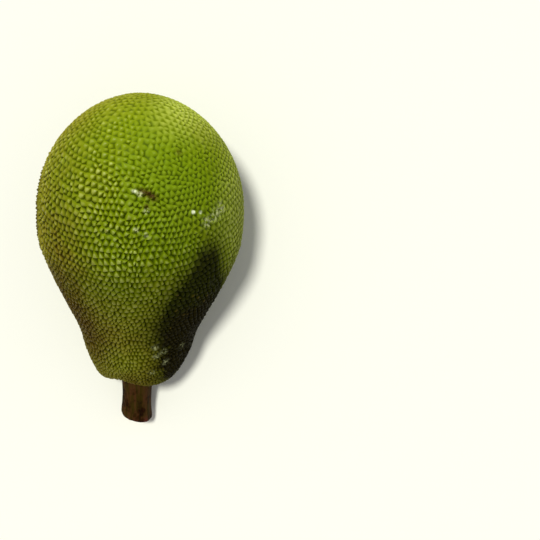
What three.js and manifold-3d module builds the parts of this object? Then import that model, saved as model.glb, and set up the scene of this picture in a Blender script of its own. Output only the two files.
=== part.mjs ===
// A whole jackfruit as picked, lying on its side on its belly and neck, with its cut stalk.
// Millimetres, +Z up, stalk towards -Y, standing on z = 0 round the middle of its own box.
//
// The fruit is drawn in a frame of its own before it is laid down. There y runs along the core,
// from the widest section (y = 0) towards the stalk, and the side that will face up is -z.
// The skin is the smooth surface over the tips of the spines.
import * as THREE from "three";
import { mergeVertices } from "three/addons/utils/BufferGeometryUtils.js";
import Module from "manifold-3d";

const wasm = await Module();
wasm.setup();

// Body: a full blossom half, as a superellipse, and a neck half as [along the core, radius]
const bodyRadius = 103.3;
const blossomLength = 115.3;
const blossomExponent = 1.91;
const blossomPoints = 8;
const neckOutline = [
  [32, 101.9],
  [63, 91.2],
  [94, 77.3],
  [125, 62.6],
  [148, 55.8],
  [170, 46.3],
  [181, 37.4],
  [186.5, 20],
  [187, 0],
];
const bodySteps = 3;
const bodySides = 64;

// Low lobes of the shoulder round the stalk: how many go round, how far they stand out along
// the core, and where a crest is, as an angle round the core from the upper side
const shoulder = { start: 110, end: 187, rise: 1.4 };
const shoulderLobes = [
  { count: 1, height: 1.2, crest: 145 },
  { count: 2, height: 2.8, crest: -69 },
  { count: 3, height: 3.3, crest: 30 },
];

// The shoulder also leans a little to one side, as a share of its radius
const shoulderLean = { share: 0.019, crest: 43 };

// Dent at the upper edge of the shoulder, where the stalk leaves it
const dent = { x: -8.5, z: -25, depth: 7, spread: 6 };

// Shallow swellings of the whole body, between its top, sides and underside
const swell = { height: 1.1, perRadian: 46 };

// Stalk: a short woody stem with a flare at each end, cut off a little aslant, as
// [along the core, radius], and how far it stands to one side of the core
const stalkOutline = [
  [176, 16.1],
  [186, 17.0],
  [197, 16.2],
  [211, 15.7],
  [224, 16.0],
  [232, 16.9],
  [235.6, 16.6],
  [237, 15.4],
];
const stalkOffset = -1.2;
const stalkSteps = 2;
const stalkSides = 30;
const stalkRidges = { count: 5, height: 0.35 };
const cutSlope = 0.22;
const seatGap = 0.3;

// Lying down: the core dips towards the stalk until belly and neck both touch the ground, and
// the spines that carry the weight are pressed flat
const coreDip = 22.2;
const flatDepth = 1.2;

const skin = new THREE.MeshStandardMaterial({ color: 0x6f7c1b, roughness: 0.6, metalness: 0 });
const bark = new THREE.MeshStandardMaterial({ color: 0x3b240b, roughness: 0.85, metalness: 0 });

function toSolid(geometry) {
  const bare = geometry.clone();
  bare.deleteAttribute("normal");
  bare.deleteAttribute("uv");
  const merged = mergeVertices(bare);
  const mesh = new wasm.Mesh({
    numProp: 3,
    vertProperties: merged.attributes.position.array,
    triVerts: new Uint32Array(merged.index.array),
  });
  return new wasm.Manifold(mesh);
}

function toGeometry(solid) {
  const mesh = solid.getMesh();
  const geometry = new THREE.BufferGeometry();
  geometry.setAttribute("position", new THREE.BufferAttribute(mesh.vertProperties, 3));
  geometry.setIndex(new THREE.BufferAttribute(mesh.triVerts, 1));
  geometry.computeVertexNormals();
  return geometry;
}

function smoothOutline(outline, steps) {
  const curve = new THREE.SplineCurve(outline.map(([along, radius]) => new THREE.Vector2(radius, along)));
  return curve.getPoints(steps * (outline.length - 1));
}

function reshape(geometry, move) {
  const position = geometry.attributes.position;
  const point = new THREE.Vector3();
  for (let i = 0; i < position.count; i += 1) {
    point.fromBufferAttribute(position, i);
    move(point);
    position.setXYZ(i, point.x, point.y, point.z);
  }
  return geometry;
}

function layDown(geometry) {
  return geometry.rotateX(Math.PI + THREE.MathUtils.degToRad(coreDip));
}

function growUneven(point) {
  const turn = Math.atan2(point.x, -point.z);
  const past = (lobe) => turn - THREE.MathUtils.degToRad(lobe.crest);
  const near = THREE.MathUtils.smoothstep(point.y, shoulder.start, shoulder.end);

  const lean = near * shoulderLean.share * Math.cos(past(shoulderLean));
  const wave = Math.sin(2 * turn) * Math.sin(point.y / swell.perRadian);
  const grow = 1 + lean + (wave * swell.height) / bodyRadius;

  const fromCore = Math.min(Math.hypot(point.x, point.z) / stalkOutline[0][1], 1);
  const lobes = shoulderLobes.map((lobe) => lobe.height * Math.cos(lobe.count * past(lobe)));
  const rise = lobes.reduce((sum, height) => sum + height, shoulder.rise);
  const fromDent = Math.hypot(point.x - dent.x, point.z - dent.z) / dent.spread;
  const sink = dent.depth * Math.exp(-0.5 * fromDent ** 2);

  point.x *= grow;
  point.z *= grow;
  point.y += near * (rise * fromCore - sink);
}

function fruitBody() {
  const power = 2 / blossomExponent;
  const outline = [];
  for (let i = 0; i <= blossomPoints; i += 1) {
    const angle = (i / blossomPoints) * (Math.PI / 2);
    const along = -blossomLength * Math.max(Math.cos(angle), 0) ** power;
    outline.push([along, bodyRadius * Math.sin(angle) ** power]);
  }
  outline.push(...neckOutline);
  const body = new THREE.LatheGeometry(smoothOutline(outline, bodySteps), bodySides);
  return layDown(reshape(body, growUneven));
}

// The stalk, or with a gap the seat for it in the fruit
function stalkBody(gap) {
  const [first, ...rest] = stalkOutline;
  const last = rest[rest.length - 1];
  const side = smoothOutline([[first[0] - gap, first[1]], ...rest], stalkSteps);
  side.forEach((point) => (point.x += gap));
  const ends = [new THREE.Vector2(0, first[0] - gap), new THREE.Vector2(0, last[0])];
  const stem = new THREE.LatheGeometry([ends[0], ...side, ends[1]], stalkSides);
  return layDown(
    reshape(stem, (point) => {
      const ridge = Math.cos(stalkRidges.count * Math.atan2(point.x, point.z));
      const grow = 1 + (ridge * stalkRidges.height) / first[1];
      const cut = THREE.MathUtils.smoothstep(point.y, shoulder.end, last[0]);
      point.y += cut * cutSlope * point.x;
      point.x = point.x * grow + stalkOffset;
      point.z *= grow;
    }),
  );
}

function restingFruit() {
  const body = fruitBody();
  body.computeBoundingBox();
  const ground = new THREE.BoxGeometry(4 * bodyRadius, 6 * bodyRadius, bodyRadius);
  ground.translate(0, 0, body.boundingBox.min.z + flatDepth - bodyRadius / 2);
  return toSolid(body).subtract(toSolid(ground)).subtract(toSolid(stalkBody(seatGap)));
}

const fruit = new THREE.Mesh(toGeometry(restingFruit()), skin);
fruit.name = "fruit";

const stalk = new THREE.Mesh(stalkBody(0), bark);
stalk.name = "stalk";

const group = new THREE.Group();
group.add(fruit, stalk);

const box = new THREE.Box3().setFromObject(group);
const middle = box.getCenter(new THREE.Vector3());
group.position.set(-middle.x, -middle.y, -box.min.z);

export default group;
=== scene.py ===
# A whole jackfruit as picked: a pear-shaped fruit in a spiny green rind, with its cut woody stalk.
# Metres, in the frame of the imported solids: +Z up, blossom end towards +Y, stalk towards -Y.
import math
import random

import bmesh
import bpy
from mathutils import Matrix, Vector, noise
from mathutils.bvhtree import BVHTree


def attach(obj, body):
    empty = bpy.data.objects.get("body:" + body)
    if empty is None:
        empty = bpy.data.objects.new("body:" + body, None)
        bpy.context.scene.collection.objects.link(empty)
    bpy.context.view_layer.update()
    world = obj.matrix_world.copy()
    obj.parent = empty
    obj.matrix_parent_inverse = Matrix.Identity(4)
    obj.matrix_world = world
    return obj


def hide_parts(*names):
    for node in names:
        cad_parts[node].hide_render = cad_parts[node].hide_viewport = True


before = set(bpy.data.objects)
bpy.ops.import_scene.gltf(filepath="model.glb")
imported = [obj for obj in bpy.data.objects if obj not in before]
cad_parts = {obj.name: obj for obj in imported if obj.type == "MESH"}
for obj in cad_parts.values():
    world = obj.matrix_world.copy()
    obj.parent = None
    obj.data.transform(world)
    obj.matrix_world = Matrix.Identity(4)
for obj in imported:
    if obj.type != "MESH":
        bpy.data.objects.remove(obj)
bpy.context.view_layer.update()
scene = bpy.context.scene


# ---- Camera ---------------------------------------------------------------------------------
# The fruit lies on a table, and the camera looks straight down at it from a little to its right.
# It is turned a few degrees, so that the stalk swings to the left.
widest = Vector((0, 0.0567, 0.1070))
camera_from_widest = Vector((0.1328, -0.0531, 1.0500))
camera_turn = math.radians(3.86)

camera = bpy.data.objects.new("camera", bpy.data.cameras.new("camera"))
camera.data.lens = 70
camera.data.sensor_width = 36
camera.location = widest + camera_from_widest
camera.rotation_euler = (0, 0, camera_turn)
scene.collection.objects.link(camera)
scene.camera = camera
scene.view_settings.view_transform = "Standard"


# ---- Rind -----------------------------------------------------------------------------------
# The rind is a tough, waxy green skin set all over with blunt spines that are part of it. They
# grew in rows round the core, wide apart on the body and close together on the neck.
# The fruit's solid is the surface over their tips, and the valleys lie below it.
core_dip = math.radians(22.2)
stalkward = Vector((0, -math.cos(core_dip), -math.sin(core_dip)))
upward = Vector((0, -math.sin(core_dip), math.cos(core_dip)))
rightward = Vector((1, 0, 0))
shoulder_start = 0.165
seat_radius = 0.0192

# Rows: the distance between spines, and how far the rows swing, crowd, drift and jitter. The
# drift is three samples of one noise, taken far apart.
body_spacing = 0.0055
waist_spacing = 0.0054
neck_spacing = 0.0043
waist_part = (-0.04, 0.06)
neck_part = (0.06, 0.16)
outline_steps = 1500
outline_sides = 8
fewest_in_row = 3
row_swing = 0.28
crowded_side = Vector((0.030, 0.080, 0.200))
crowded_reach = 0.17
crowding = 0.20
row_drift = 0.0035
drift_scale = 45
drift_samples = (0, 5, 10)
settling_rounds = 1
spine_jitter = 0.14

# Spines: two rings up to the tip, each as its share of the spine's width and of its height
spine_height = 0.46
pointed_rings = ((0.84, 0.50), (0.50, 0.88))
blocky_rings = ((0.84, 0.56), (0.50, 0.90))
low_rings = ((0.64, 0.66), (0.32, 0.84))
first_inset = 0.0001
spine_sizes = (0.82, 1.10)
spine_widths = (0.92, 1.08)
spine_lean = 0.10
tip_lean = 0.25

# Valleys: a deep pit at one corner of each spine, and saddles at its other corners
pit_side = (stalkward + 0.5 * rightward).normalized()
pit_rise = -0.4
low_pit_rise = -0.25
pit_reach = 0.70
low_pit_reach = 0.72
saddle_on_body = 0.45
saddle_on_neck = 0.25
low_saddle = 0.56
saddle_spread = 0.12
valley_tint = 0.5

# Relief: low on the upper right, left of the middle and where the stalk leaves the shoulder,
# high down the outermost left side. Each pair says where a change starts and ends.
low_side = Vector((0.065, 0.130, 0.150))
low_side_reach = (0.06, 0.160)
low_relief = 0.48
left_of_middle = (-0.01, -0.06)
left_softening = 0.32
outermost_left = (-0.078, -0.096)
left_sharpening = 1.2
start_of_neck = (0.0, 0.07)
shoulder_rim = (0.016, 0.028)
shoulder_relief = 0.3
middle_tone = 0.47
crease = math.radians(40)


def ramp(value, start, end):
    """0 before start, 1 after end, with a smooth slope between."""
    share = min(max((value - start) / (end - start), 0), 1)
    return share * share * (3 - 2 * share)


def between(start, end, share):
    """The value at a share of the way from start to end."""
    return start + (end - start) * share


def place_on_core(point):
    """How far a point is along the core, from the widest section, and how far from the core."""
    offset = point - widest
    along = offset.dot(stalkward)
    return along, (offset - along * stalkward).length


def merged_solid(node):
    """A copy of a node's smooth solid, with its loose triangles joined."""
    mesh = bmesh.new()
    mesh.from_mesh(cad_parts[node].data)
    bmesh.ops.remove_doubles(mesh, verts=mesh.verts, dist=1e-6)
    return mesh


def closed_skin():
    """The fruit's smooth surface, with the seat of the stalk closed over."""
    mesh = merged_solid("fruit")
    seat = []
    for face in mesh.faces:
        places = [place_on_core(vertex.co) for vertex in face.verts]
        if all(along > shoulder_start and radius < seat_radius for along, radius in places):
            seat.append(face)
    bmesh.ops.delete(mesh, geom=seat, context="FACES")
    bmesh.ops.holes_fill(mesh, edges=[edge for edge in mesh.edges if edge.is_boundary])
    return BVHTree.FromBMesh(mesh)


def skin_towards(direction):
    """Where a ray from the widest section leaves the skin, and the skin's normal there."""
    return skin.ray_cast(widest, direction)[:2]


def heading(tilt, turn):
    """The direction tilted off the core, on the side that turn gives, counted from the top."""
    around = math.sin(turn) * rightward + math.cos(turn) * upward
    return math.cos(tilt) * stalkward + math.sin(tilt) * around


def spine_spacing(along):
    """Distance between neighbouring spines: wide on the body, narrow on the neck."""
    body = between(body_spacing, waist_spacing, ramp(along, *waist_part))
    return between(body, neck_spacing, ramp(along, *neck_part))


def spine_rows():
    """The rows of spines round the core, from the stalk on: each row's tilt and its turns."""
    rows = []
    # The gap counts spacings since the last row, and the first row stands half of one from the core
    gap = 0.5
    last = skin_towards(heading(0, 0))[0]
    for step in range(1, outline_steps):
        tilt = math.pi * step / outline_steps
        turns = [math.tau * side / outline_sides for side in range(outline_sides)]
        sides = [skin_towards(heading(tilt, turn))[0] for turn in turns]
        reach = sum((place - widest).length for place in sides) / outline_sides
        place = widest + reach * heading(tilt, 0)
        spacing = spine_spacing(place_on_core(place)[0])
        gap += (place - last).length / spacing
        last = place
        if gap >= 1:
            gap -= 1
            count = max(round(math.tau * reach * math.sin(tilt) / spacing), fewest_in_row)
            start = random.random()
            rows.append((tilt, [math.tau * (number + start) / count for number in range(count)]))
    return rows


def crowd_and_drift(place):
    """Moves a place on the skin towards the crowded side, and a little to and fro."""
    inward = crowded_side - place
    crowded = place + crowding * ramp(inward.length, crowded_reach, 0) * inward
    samples = [drift_scale * place + sample * upward for sample in drift_samples]
    drift = Vector([noise.noise(sample) for sample in samples])
    return skin_towards((crowded + row_drift * drift - widest).normalized())[0]


def spine_cells(mesh):
    """Fills mesh with one many-sided face round each spine, and returns these faces."""
    # The hull of the spines' rows on a ball gives the triangles between them
    rows = spine_rows()
    spine_count = sum(len(turns) for _, turns in rows)
    places = []
    for tilt, turns in rows:
        level = 1 - (2 * len(places) + len(turns)) / spine_count
        ring = math.sqrt(1 - level**2)
        for turn in turns:
            mesh.verts.new((ring * math.sin(turn), ring * math.cos(turn), level))
            swung = tilt - row_swing * math.sin(tilt) * math.cos(turn)
            places.append(skin_towards(heading(swung, turn))[0])
    bmesh.ops.convex_hull(mesh, input=mesh.verts)
    for vertex, place in zip(mesh.verts, places):
        vertex.co = crowd_and_drift(place)
    # Neighbours settle to even distances, then each spine is put a little out of line
    for push in [0] * settling_rounds + [spine_jitter]:
        bmesh.ops.beautify_fill(mesh, faces=mesh.faces, edges=mesh.edges, method="ANGLE")
        bmesh.ops.smooth_vert(
            mesh, verts=mesh.verts, factor=0.5, use_axis_x=True, use_axis_y=True, use_axis_z=True
        )
        for vertex in mesh.verts:
            jitter = Vector([random.gauss(0, push) for _ in range(3)])
            moved = vertex.co + spine_spacing(place_on_core(vertex.co)[0]) * jitter
            vertex.co = skin_towards((moved - widest).normalized())[0]
    bmesh.ops.beautify_fill(mesh, faces=mesh.faces, edges=mesh.edges, method="ANGLE")
    # The middles of the triangles round a spine become the corners of its face
    tips = mesh.verts[:]
    between_tips = mesh.edges[:]
    bmesh.ops.poke(mesh, faces=mesh.faces)
    bmesh.ops.rotate_edges(mesh, edges=between_tips, use_ccw=True)
    bmesh.ops.dissolve_verts(mesh, verts=tips)
    return mesh.faces[:]


def flatness(place):
    """1 on the upper right side, where the spines hardly stand out, and 0 away from it."""
    return 1 - ramp((place - low_side).length, *low_side_reach)


def neck_share(place):
    """0 on the body of the fruit and 1 on its neck."""
    return ramp(place_on_core(place)[0], *start_of_neck)


def left_share(place):
    """1 down the outermost left side, where the spines are sharpest, and 0 away from it."""
    return ramp(place.x, *outermost_left)


def relief_at(place):
    """How far the spines stand out at a place, as a share of their height on the body."""
    softened = 1 - left_softening * ramp(place.x, *left_of_middle)
    relief = between(1, low_relief, flatness(place)) * softened
    return relief + left_sharpening * left_share(place)


def sink_valleys(mesh, cells, rise, tint):
    """Gives the corners of the cells their rise: saddles between the spines, and a pit to each."""
    for vertex in mesh.verts:
        saddle = between(saddle_on_body, low_saddle, flatness(vertex.co))
        saddle = between(saddle, saddle_on_neck, max(neck_share(vertex.co), left_share(vertex.co)))
        vertex[rise] = saddle + random.gauss(0, saddle_spread)
        vertex[tint] = valley_tint
    for cell in cells:
        pit = max(cell.verts, key=lambda vertex: vertex.co.dot(pit_side))
        pit[rise] = between(pit_rise, low_pit_rise, flatness(pit.co))


def raise_spines(mesh, cells, rise, tint):
    """Raises each cell in two rings and a tip, to a size, a width, a tint and a lean of its own."""
    centres = [cell.calc_center_median() for cell in cells]
    corners = [[(vertex.co.copy(), vertex[rise]) for vertex in cell.verts] for cell in cells]
    sizes = [random.uniform(*spine_sizes) for _ in cells]
    widths = [random.uniform(*spine_widths) for _ in cells]
    tints = [random.random() for _ in cells]
    leans = []
    for centre in centres:
        lean = Vector([random.gauss(0, spine_lean) for _ in range(3)])
        leans.append(lean + tip_lean * (1 - flatness(centre)) * pit_side)
    for pointed, low, blocky in zip(pointed_rings, low_rings, blocky_rings):
        bmesh.ops.inset_individual(mesh, faces=cells, thickness=first_inset)
        spines = zip(cells, centres, corners, sizes, widths, tints, leans)
        for cell, centre, ring, size, width, shade, lean in spines:
            body = Vector(pointed).lerp(low, max(flatness(centre), left_share(centre)))
            share, height = body.lerp(blocky, neck_share(centre))
            middle = centre + (ring[0][0] - centre).length * height * lean
            to_pit = between(pit_reach, low_pit_reach, flatness(centre))
            for vertex, (corner, corner_rise) in zip(cell.verts, ring):
                reach = share * (to_pit if corner_rise < 0 else 1)
                vertex.co = middle + width * reach * (corner - centre)
                vertex[rise] = height * size
                vertex[tint] = shade
    peaks = bmesh.ops.poke(mesh, faces=cells)["verts"]
    for vertex, size, shade in zip(peaks, sizes, tints):
        vertex[rise] = size
        vertex[tint] = shade


def fit_to_skin(mesh, rise, tone):
    """Puts a rise of 1 on the skin and a rise of 0 a spine's height below it, and sets tones."""
    for vertex in mesh.verts:
        place, normal = skin_towards((vertex.co - widest).normalized())
        along, radius = place_on_core(place)
        relief = relief_at(place)
        height = spine_height * relief * spine_spacing(along)
        if along > shoulder_start:
            height *= between(shoulder_relief, 1, ramp(radius, *shoulder_rim))
        vertex.co = place - (1 - vertex[rise]) * height * normal
        vertex.co.z = max(vertex.co.z, 0)
        # The tone is lowest in the pits and valleys, where the rind's colour paints shade into the
        # hollows
        vertex[tone] = min(middle_tone + (vertex[rise] - middle_tone) * relief, vertex[rise])


def rind_surface():
    """The rind: a cell round each spine, raised to a blunt tip, then fitted to the skin."""
    mesh = bmesh.new()
    cells = spine_cells(mesh)
    rise = mesh.verts.layers.float.new("rise")
    tone = mesh.verts.layers.float.new("tone")
    tint = mesh.verts.layers.float.new("tint")
    sink_valleys(mesh, cells, rise, tint)
    raise_spines(mesh, cells, rise, tint)
    fit_to_skin(mesh, rise, tone)
    bmesh.ops.recalc_face_normals(mesh, faces=mesh.faces)
    return mesh


def show(name, mesh, node):
    """Makes a piece of a mesh, shaded smooth: it stands for a solid and rides on the one body."""
    data = bpy.data.meshes.new(name)
    mesh.to_mesh(data)
    mesh.free()
    data.polygons.foreach_set("use_smooth", [True] * len(data.polygons))
    piece = bpy.data.objects.new(name, data)
    scene.collection.objects.link(piece)
    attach(piece, "root")
    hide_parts(node)
    return piece


class Wire:
    """An output of a material's node. Python maths on it adds the Math nodes."""

    def __init__(self, socket):
        self.socket = socket
        self.tree = socket.id_data

    def node(self, kind, settings=None, inputs=None, output=0):
        """Adds a node to the same material: its settings first, then its sockets."""
        made = self.tree.nodes.new(kind)
        for name, value in (settings or {}).items():
            setattr(made, name, value)
        for name, value in (inputs or {}).items():
            feed(made.inputs[name], value)
        return Wire(made.outputs[output])

    def math(self, operation, *values):
        return self.node("ShaderNodeMath", {"operation": operation}, dict(enumerate(values)))

    def vector(self, operation, value, output=0):
        settings = {"operation": operation}
        return self.node("ShaderNodeVectorMath", settings, {0: self, 1: value}, output)

    def __add__(self, other):
        return self.math("ADD", self, other)

    def __sub__(self, other):
        return self.math("SUBTRACT", self, other)

    def __rsub__(self, other):
        return self.math("SUBTRACT", other, self)

    def __mul__(self, other):
        return self.math("MULTIPLY", self, other)

    def __truediv__(self, other):
        return self.math("DIVIDE", self, other)

    __radd__ = __add__
    __rmul__ = __mul__

    def step(self, start, end):
        """0 where the value is at start, 1 where it is at end, with a smooth slope between."""
        settings = {"interpolation_type": "SMOOTHSTEP"}
        inputs = {"Value": self, "From Min": start, "From Max": end}
        return self.node("ShaderNodeMapRange", settings, inputs)

    def blend(self, low, high):
        """The colour low where the value is 0 and high where it is 1."""
        settings = {"data_type": "RGBA", "clamp_factor": True}
        return self.node("ShaderNodeMix", settings, {0: self, 6: low, 7: high}, output=2)

    def grain(self, scale, detail=2.0, roughness=0.5):
        """Noise, about 0.5 on average, over the place that this wire gives."""
        inputs = {"Vector": self, "Scale": scale, "Detail": detail, "Roughness": roughness}
        return self.node("ShaderNodeTexNoise", {}, inputs)

    def near(self, radius, *centres):
        """1 at the given places on the piece, falling to 0 at radius from them."""
        total = 0.0
        for centre in centres:
            total = total + self.vector("DISTANCE", centre, output=1).step(radius, 0.0)
        return total

    def bump(self, strength, distance):
        """The normal of a surface that stands out by this wire's value."""
        inputs = {"Strength": strength, "Distance": distance, "Height": self}
        return self.node("ShaderNodeBump", {}, inputs)


def feed(socket, value):
    """Links a wire to a socket, or sets the socket to a plain value."""
    if isinstance(value, Wire):
        value.tree.links.new(value.socket, socket)
    else:
        socket.default_value = value


def rgb(red, deeper_green_and_painted_shade, blue):
    """A colour given as it looks on a screen, 0 to 255, as the linear colour of a material."""
    shares = [value / 255 for value in (red, deeper_green_and_painted_shade, blue)]
    return (*[(s / 12.92 if s < 0.04 else ((s + 0.055) / 1.055) ** 2.4) for s in shares], 1)


def new_finish(name, specular):
    """A new material: itself, its shader, and wires to the place on the piece and to attributes."""
    material = bpy.data.materials.new(name)
    material.use_nodes = True
    shader = material.node_tree.nodes["Principled BSDF"]
    shader.inputs["Specular IOR Level"].default_value = specular
    place = Wire(material.node_tree.nodes.new("ShaderNodeTexCoord").outputs["Object"])

    def attribute(name):
        return place.node("ShaderNodeAttribute", {"attribute_name": name}, output=2)

    return material, shader, place, attribute


# Marks on the rind, each at its place: green, aged and brown patches, sap, painted shade, a scar,
# flecks and a painted highlight
upper_right = (0.045, 0.068, 0.200)
aged_left = (-0.060, 0.010, 0.170)
green_by_stalk = (-0.015, -0.098, 0.103)
# Painted shade on the right of the waist and neck, and dried sap there that is partly painted shadow
painted_shade_places = ((0.083, -0.016, 0.137), (0.066, -0.052, 0.114))
painted_shade_end = (0.076, 0.014, 0.158)
sap_and_shadow_places = ((0.062, -0.060, 0.110), (0.053, -0.094, 0.074))
waist_places = ((-0.068, -0.035, 0.125), (-0.052, -0.075, 0.100))
# Brown round the stalk's seat, with painted shade where the stalk meets the fruit
brown_and_shade_by_stalk = (0.004, -0.122, 0.075)
scar_places = ((0.013, 0.066, 0.210), (0.019, 0.065, 0.209), (0.024, 0.062, 0.208))
below_scar = (0.018, 0.053, 0.209)
brown_spot = (0.042, 0.106, 0.192)
flecks_at_scar = ((0.006, 0.066, 0.2106), (0.011, 0.064, 0.2101), (0.018, 0.049, 0.2084))
flecks_below = ((0.009, 0.031, 0.2065), (0.018, 0.027, 0.204))
brightest_fleck = (0.059, 0.052, 0.191)
small_bright_flecks = ((0.0655, 0.0526, 0.186), (0.006, 0.066, 0.2106))
# A pale streak on the right of the body: a painted highlight
painted_highlight_streak = ((0.072, 0.044, 0.179), (0.079, 0.052, 0.173), (0.083, 0.059, 0.167))
neck_scuffs = (
    (0.024, -0.082, 0.113),
    (0.025, -0.091, 0.1045),
    (0.032, -0.086, 0.104),
    (0.034, -0.097, 0.0935),
    (0.020, -0.109, 0.091),
    (0.049, -0.080, 0.090),
)


def sap_and_painted_shade_cover(place, x, y, mottle):
    """Painted shade on the right of the waist and neck, and dried sap in it that is partly painted
    shadow.
    """
    # Both fade towards the underside, and the painted shade also towards the outermost right
    upper = place.vector("DOT_PRODUCT", upward, output=1).step(0.030, 0.072)
    shade = place.near(0.077, *painted_shade_places) * (mottle + 1.25) * y.step(0.040, -0.012)
    shade = shade + place.near(0.034, painted_shade_end) * (mottle + 0.5)
    sap_and_painted_shadow = place.near(0.056, *sap_and_shadow_places) * (mottle * 4.0 - 0.2)
    return shade * upper * x.step(0.100, 0.068), sap_and_painted_shadow * upper


def marked(colour, place, specks):
    """The colour with the small marks drawn over it: scar, spots, flecks, scuffs and a painted
    highlight.
    """
    # A healed scar, torn brown, with two small brown spots near it
    scar = place.near(0.007, *scar_places) + place.near(0.005, below_scar)
    scar = scar + place.near(0.006, brown_spot) * 0.6
    colour = (scar * (specks * 2.0 - 0.1)).blend(colour, rgb(52, 38, 8))
    # Dried latex and scuffs: pale grey flecks, and a streak on the right that is a painted highlight
    flecks = place.near(0.004, *flecks_at_scar, *flecks_below) * 1.5
    scuffs_and_painted_highlight = place.near(0.009, *painted_highlight_streak) * 1.1 + place.near(0.006, *neck_scuffs)
    pale = (flecks + scuffs_and_painted_highlight * 0.8) * specks.step(0.42, 0.60)
    colour = pale.blend(colour, rgb(156, 160, 112))
    bright_flecks = place.near(0.0028, brightest_fleck) * 1.8
    bright_flecks = bright_flecks + place.near(0.0026, *small_bright_flecks)
    return bright_flecks.blend(colour, rgb(216, 222, 184))


def waxy_rind():
    material, shader, place, attribute = new_finish("waxy_rind", specular=0.03)
    tone = attribute("tone")
    tint = attribute("tint")
    x = place.vector("DOT_PRODUCT", (1, 0, 0), output=1)
    y = place.vector("DOT_PRODUCT", (0, 1, 0), output=1)
    z = place.vector("DOT_PRODUCT", (0, 0, 1), output=1)
    patches = place.grain(16.0, 3.0, 0.6)
    mottle = place.grain(70.0, 3.0, 0.6)
    specks = place.grain(420.0, 2.0, 0.6)
    pores = place.grain(900.0, 2.0, 0.6)
    flanks_to_tips = tone.step(0.1, 0.9)

    # Deep green between the spines and darkest in the pits, partly painted shade in the hollows;
    # yellow-green on their flanks; pale on the blunt tips, partly a painted highlight
    colour = tone.step(-0.2, 0.52).blend(rgb(57, 72, 0), rgb(96, 112, 0))
    tips = tone.step(0.57, 1.0) * (x.step(-0.10, -0.04) * 0.22 + 0.45)
    colour = tips.blend(colour, rgb(140, 149, 74))
    # Each spine has a shade of its own, and the skin is yellower in patches and down the sides
    colour = (tint * 0.4).blend(colour, rgb(76, 98, 0))
    sides = z.step(0.20, 0.12) * (x.step(0.05, -0.04) * 0.35 + 0.25)
    sides = sides + y.step(0.10, 0.17) * 0.2 + patches.step(0.45, 0.7) * 0.2
    colour = sides.blend(colour, flanks_to_tips.blend(rgb(80, 76, 0), rgb(130, 126, 30)))
    # A deeper green on the upper right, partly painted shade, and beyond it a pale rim that is a
    # painted sheen
    deeper_green_and_painted_shade = place.near(0.085, upper_right) * 0.65
    colour = deeper_green_and_painted_shade.blend(colour, tone.step(-0.3, 0.8).blend(rgb(48, 64, 0), rgb(92, 114, 8)))
    rim = x.step(0.070, 0.100) * y.step(-0.01, 0.05) + y.step(0.105, 0.155) * x.step(0.0, 0.04)
    colour = (rim * 0.6).blend(colour, flanks_to_tips.blend(rgb(108, 122, 16), rgb(172, 182, 84)))
    # The neck and the left side turned olive brown, but for a green patch beside the stalk
    aged = y.step(0.02, -0.08) * 0.5 + x.step(0.0, -0.10) * 0.6
    aged = aged + place.near(0.060, aged_left) * 0.4
    aged = aged * (mottle * 1.4 + 0.2) - place.near(0.035, green_by_stalk) * 0.5
    colour = aged.blend(colour, flanks_to_tips.blend(rgb(50, 36, 0), rgb(104, 92, 18)))
    # Brown on the left of the waist, and round the stalk brown with painted shade where it meets the
    # fruit
    brown_and_painted_shade = place.near(0.060, *waist_places) * 0.9 + place.near(0.034, brown_and_shade_by_stalk) * 0.8
    brown_and_painted_shade = brown_and_painted_shade * (mottle + 0.5)
    colour = brown_and_painted_shade.blend(colour, flanks_to_tips.blend(rgb(36, 24, 0), rgb(84, 68, 6)))
    # The spines furthest to the left have dark brown tips
    scorched = x.step(-0.089, -0.101) * tone.step(0.45, 0.85) * 0.9
    colour = scorched.blend(colour, rgb(46, 34, 4))
    # The right of the waist and neck is darkened: painted shade, and in it dried sap that is partly
    # painted shadow
    shade, sap_and_painted_shadow = sap_and_painted_shade_cover(place, x, y, mottle)
    colour = shade.blend(colour, tone.blend(rgb(17, 20, 0), rgb(38, 41, 0)))
    colour = sap_and_painted_shadow.blend(colour, tone.blend(rgb(16, 13, 0), rgb(30, 26, 1)))
    # Worn brown tips here and there, and painted glints on tips on the upper left
    worn = tint.step(0.86, 0.94) * tone.step(0.8, 1.0) * patches.step(0.4, 0.6)
    colour = (worn * 0.5).blend(colour, rgb(84, 66, 8))
    painted_glints = tint.step(0.25, 0.05) * tone.step(0.5, 0.95)
    painted_glints = painted_glints * y.step(-0.02, 0.03) * x.step(0.05, -0.01)
    colour = (painted_glints * 0.15).blend(colour, rgb(184, 194, 96))

    feed(shader.inputs["Base Color"], marked(colour, place, specks))
    feed(shader.inputs["Roughness"], 0.48 + 0.15 * pores)
    # The wax shines on the tips, most on the left, and not under the painted shade or the sap
    shine = x.step(0.02, -0.04) * 0.30 + 0.1 - 0.25 * shade - 0.25 * sap_and_painted_shadow
    feed(shader.inputs["Coat Weight"], tone.step(0.6, 1.0) * shine)
    feed(shader.inputs["Coat Roughness"], 0.35)
    feed(shader.inputs["Normal"], pores.bump(0.25, 0.0006))
    return material


random.seed(11)
skin = closed_skin()
rind = show("rind", rind_surface(), "fruit")
rind.data.set_sharp_from_angle(angle=crease)
rind.data.materials.append(waxy_rind())


# ---- Stalk ----------------------------------------------------------------------------------
# The stalk is a short length of the bearing branch: thin brown bark, furrowed lengthwise, over
# pale wood with a soft pith. It grows out of the fruit's end and was cut off a little aslant.

# Mesh: where the stalk starts in its seat, and its rings lengthwise and across the cut
stalk_base = 0.1765
stalk_sides = 96
stalk_rings = 56
cut_rings = (0.975, 0.93, 0.86, 0.72, 0.57, 0.42, 0.27, 0.15, 0.10)

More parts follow.
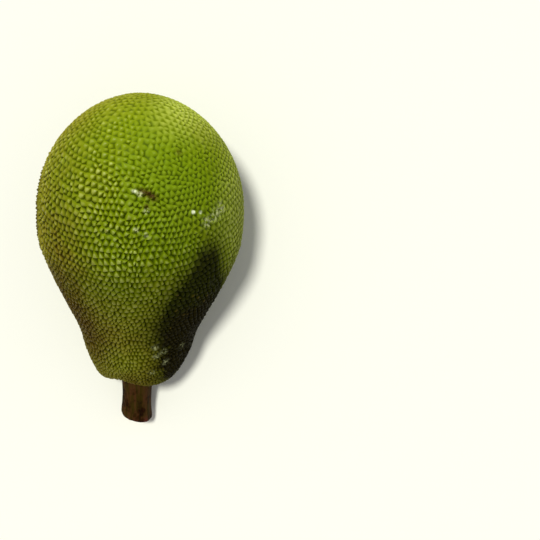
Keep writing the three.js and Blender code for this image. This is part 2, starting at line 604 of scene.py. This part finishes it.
# Cut: the bark ends a little short of it, the wood rises inside the bark, and the pith is sunk
cut_margin = 0.0008
cut_lift = 0.00064
cut_rim = 0.07
pith_radius = 0.13
pith_floor = 0.8
pith_depth = 0.0010

# Bark: its depth, the share of it that is worn off all over, by coarse and by fine furrows, and
# how closely these furrows run round the stalk and lengthwise
bark_depth = 0.0007
bark_wear = 0.35
coarse_depth = 0.9
fine_depth = 0.35
coarse_furrows = (4.5, 30)
fine_furrows = (16, 110)

# Rays that find the solid start past its cut, within its bark, or well to the side of it
beyond_stalk = 0.3
inside_bark = 0.0125
outside_bark = 0.03


def furrow(turn, along, grain):
    """Noise on the bark, by its grain round the stalk and lengthwise."""
    around, lengthwise = grain
    place = Vector((around * math.cos(turn), around * math.sin(turn), lengthwise * along))
    return noise.noise(place)


def bark_place(turn, share):
    """A place on the bark, at a share of the way from the stalk's base to its cut."""
    out = math.sin(turn) * rightward + math.cos(turn) * upward
    beyond_cut = widest + beyond_stalk * stalkward + inside_bark * out
    cut_along = place_on_core(stem.ray_cast(beyond_cut, -stalkward)[0])[0] - cut_margin
    along = stalk_base + share * (cut_along - stalk_base)
    surface = stem.ray_cast(widest + along * stalkward + outside_bark * out, -out)[0]
    coarse = furrow(turn, along, coarse_furrows)
    fine = furrow(turn, along, fine_furrows)
    depth = bark_depth * (bark_wear + coarse_depth * coarse + fine_depth * fine)
    return surface - max(depth, 0) * out


def stalk_surface():
    """The stalk: a drum of unit size, drawn out along the stem, with rings across its cut."""
    mesh = bmesh.new()
    bmesh.ops.create_circle(mesh, cap_ends=True, radius=1, segments=stalk_sides)
    edges = mesh.edges[:]
    rings = [(1, number / stalk_rings) for number in range(1, stalk_rings + 1)]
    for radius, share in rings + [(radius, 1) for radius in cut_rings]:
        made = bmesh.ops.extrude_edge_only(mesh, edges=edges)["geom"]
        edges = [item for item in made if isinstance(item, bmesh.types.BMEdge)]
        for vertex in (item for item in made if isinstance(item, bmesh.types.BMVert)):
            vertex.co = (*(radius * vertex.co.xy.normalized()), share)
    heart = bmesh.ops.contextual_create(mesh, geom=edges)["faces"]
    bmesh.ops.poke(mesh, faces=heart)

    across = mesh.verts.layers.float.new("across")
    rim = [bark_place(math.tau * side / stalk_sides, 1) for side in range(stalk_sides)]
    cut_centre = sum(rim, Vector()) / stalk_sides
    for vertex in mesh.verts:
        radius = vertex.co.xy.length
        vertex[across] = radius
        place = bark_place(math.atan2(vertex.co.x, vertex.co.y), vertex.co.z)
        on_cut = radius < 0.99 and vertex.co.z > 0.5
        if on_cut:
            lift = cut_lift * ramp(1 - radius, 0, cut_rim)
            lift -= pith_depth * ramp(radius, pith_radius, pith_floor * pith_radius)
            place = cut_centre + radius * (place - cut_centre) + lift * stalkward
        vertex.co = place
    bmesh.ops.recalc_face_normals(mesh, faces=mesh.faces)
    return mesh


def furrowed_bark():
    material, shader, place, attribute = new_finish("furrowed_bark", specular=0.04)
    across = attribute("across")
    along = place.vector("DOT_PRODUCT", stalkward, output=1)
    # Most of the way along the stalk is taken off, so that what is drawn on it is drawn out
    shift = {0: stalkward, "Scale": along * 0.9}
    most_of_along = along.node("ShaderNodeVectorMath", {"operation": "SCALE"}, shift)
    fibres = place.vector("SUBTRACT", most_of_along)
    streaks = fibres.grain(330.0, 3.0, 0.6)
    threads = fibres.grain(1100.0, 2.0, 0.6)
    blotches = place.grain(90.0, 3.0, 0.6)

    # Bark: dark brown with reddish streaks, and olive where it is youngest, next to the fruit
    bark = streaks.step(0.35, 0.65).blend(rgb(20, 6, 0), rgb(45, 16, 0))
    bark = (blotches.step(0.40, 0.55) * streaks.step(0.42, 0.58)).blend(bark, rgb(92, 40, 34))
    young = along.step(0.150, 0.135) * blotches.step(0.3, 0.6)
    bark = (young * 0.8).blend(bark, rgb(56, 44, 4))
    bark = (threads.step(0.62, 0.75) * 0.4).blend(bark, rgb(78, 56, 30))
    # Cut: tan wood in faint rings, darker under the bark, round a brown pith
    growth = across.math("SINE", across * 60.0 + blotches * 6.0) * 0.5 + 0.5
    wood = (growth * 0.5).blend(rgb(176, 146, 96), rgb(140, 106, 62))
    wood = across.step(0.80, 0.90).blend(wood, rgb(104, 74, 38))
    wood = across.step(pith_radius + 0.03, pith_radius - 0.01).blend(wood, rgb(96, 62, 30))
    colour = across.step(0.95, 0.93).blend(bark, wood)
    feed(shader.inputs["Base Color"], colour)
    feed(shader.inputs["Roughness"], 0.62 + 0.2 * threads)
    feed(shader.inputs["Normal"], (streaks * 0.7 + threads * 0.3).bump(0.5, 0.0008))
    return material


stem = BVHTree.FromBMesh(merged_solid("stalk"))
stalk = show("stalk_stem", stalk_surface(), "stalk")
stalk.data.materials.append(furrowed_bark())


# ---- Stage ----------------------------------------------------------------------------------
# A wide pale table top under soft studio light. A broad lamp overhead, a little to the left and
# towards the blossom end, gives the soft shadow. A low lamp beyond the blossom end lights only
# the fruit, as if it were shaded off the table.
table_radius = 40


def lamp(name, energy, size, towards):
    """A distant soft lamp, given by the direction from the fruit to it."""
    made = bpy.data.objects.new(name, bpy.data.lights.new(name, "SUN"))
    made.data.energy = energy
    made.data.angle = math.radians(size)
    made.rotation_euler = Vector(towards).to_track_quat("Z", "Y").to_euler()
    scene.collection.objects.link(made)
    return made


table = bmesh.new()
bmesh.ops.create_circle(table, cap_ends=True, radius=table_radius, segments=96)
floor = bpy.data.objects.new("floor", bpy.data.meshes.new("floor"))
table.to_mesh(floor.data)
scene.collection.objects.link(floor)
material, shader, _, _ = new_finish("pale_table", specular=0.0)
feed(shader.inputs["Base Color"], (0.975, 0.975, 0.825, 1))
feed(shader.inputs["Roughness"], 1.0)
floor.data.materials.append(material)

lamp("overhead", 2.35, 9, (-0.15, 0.14, 1))
key = lamp("key", 4.4, 12, (-0.27, 0.82, 0.56))
lit = bpy.data.collections.new("lit_by_key")
lit.objects.link(rind)
lit.objects.link(stalk)
key.light_linking.receiver_collection = lit

# The room looks as pale as the lit table, and its own light is fainter and cooler
scene.world = bpy.data.worlds.new("studio")
scene.world.use_nodes = True
sky = scene.world.node_tree.nodes["Background"]
seen = Wire(scene.world.node_tree.nodes.new("ShaderNodeLightPath").outputs["Is Camera Ray"])
feed(sky.inputs["Color"], seen.blend((0.97, 0.97, 1.10, 1), (1.03, 1.03, 0.912, 1)))
feed(sky.inputs["Strength"], seen * 0.66 + 0.34)
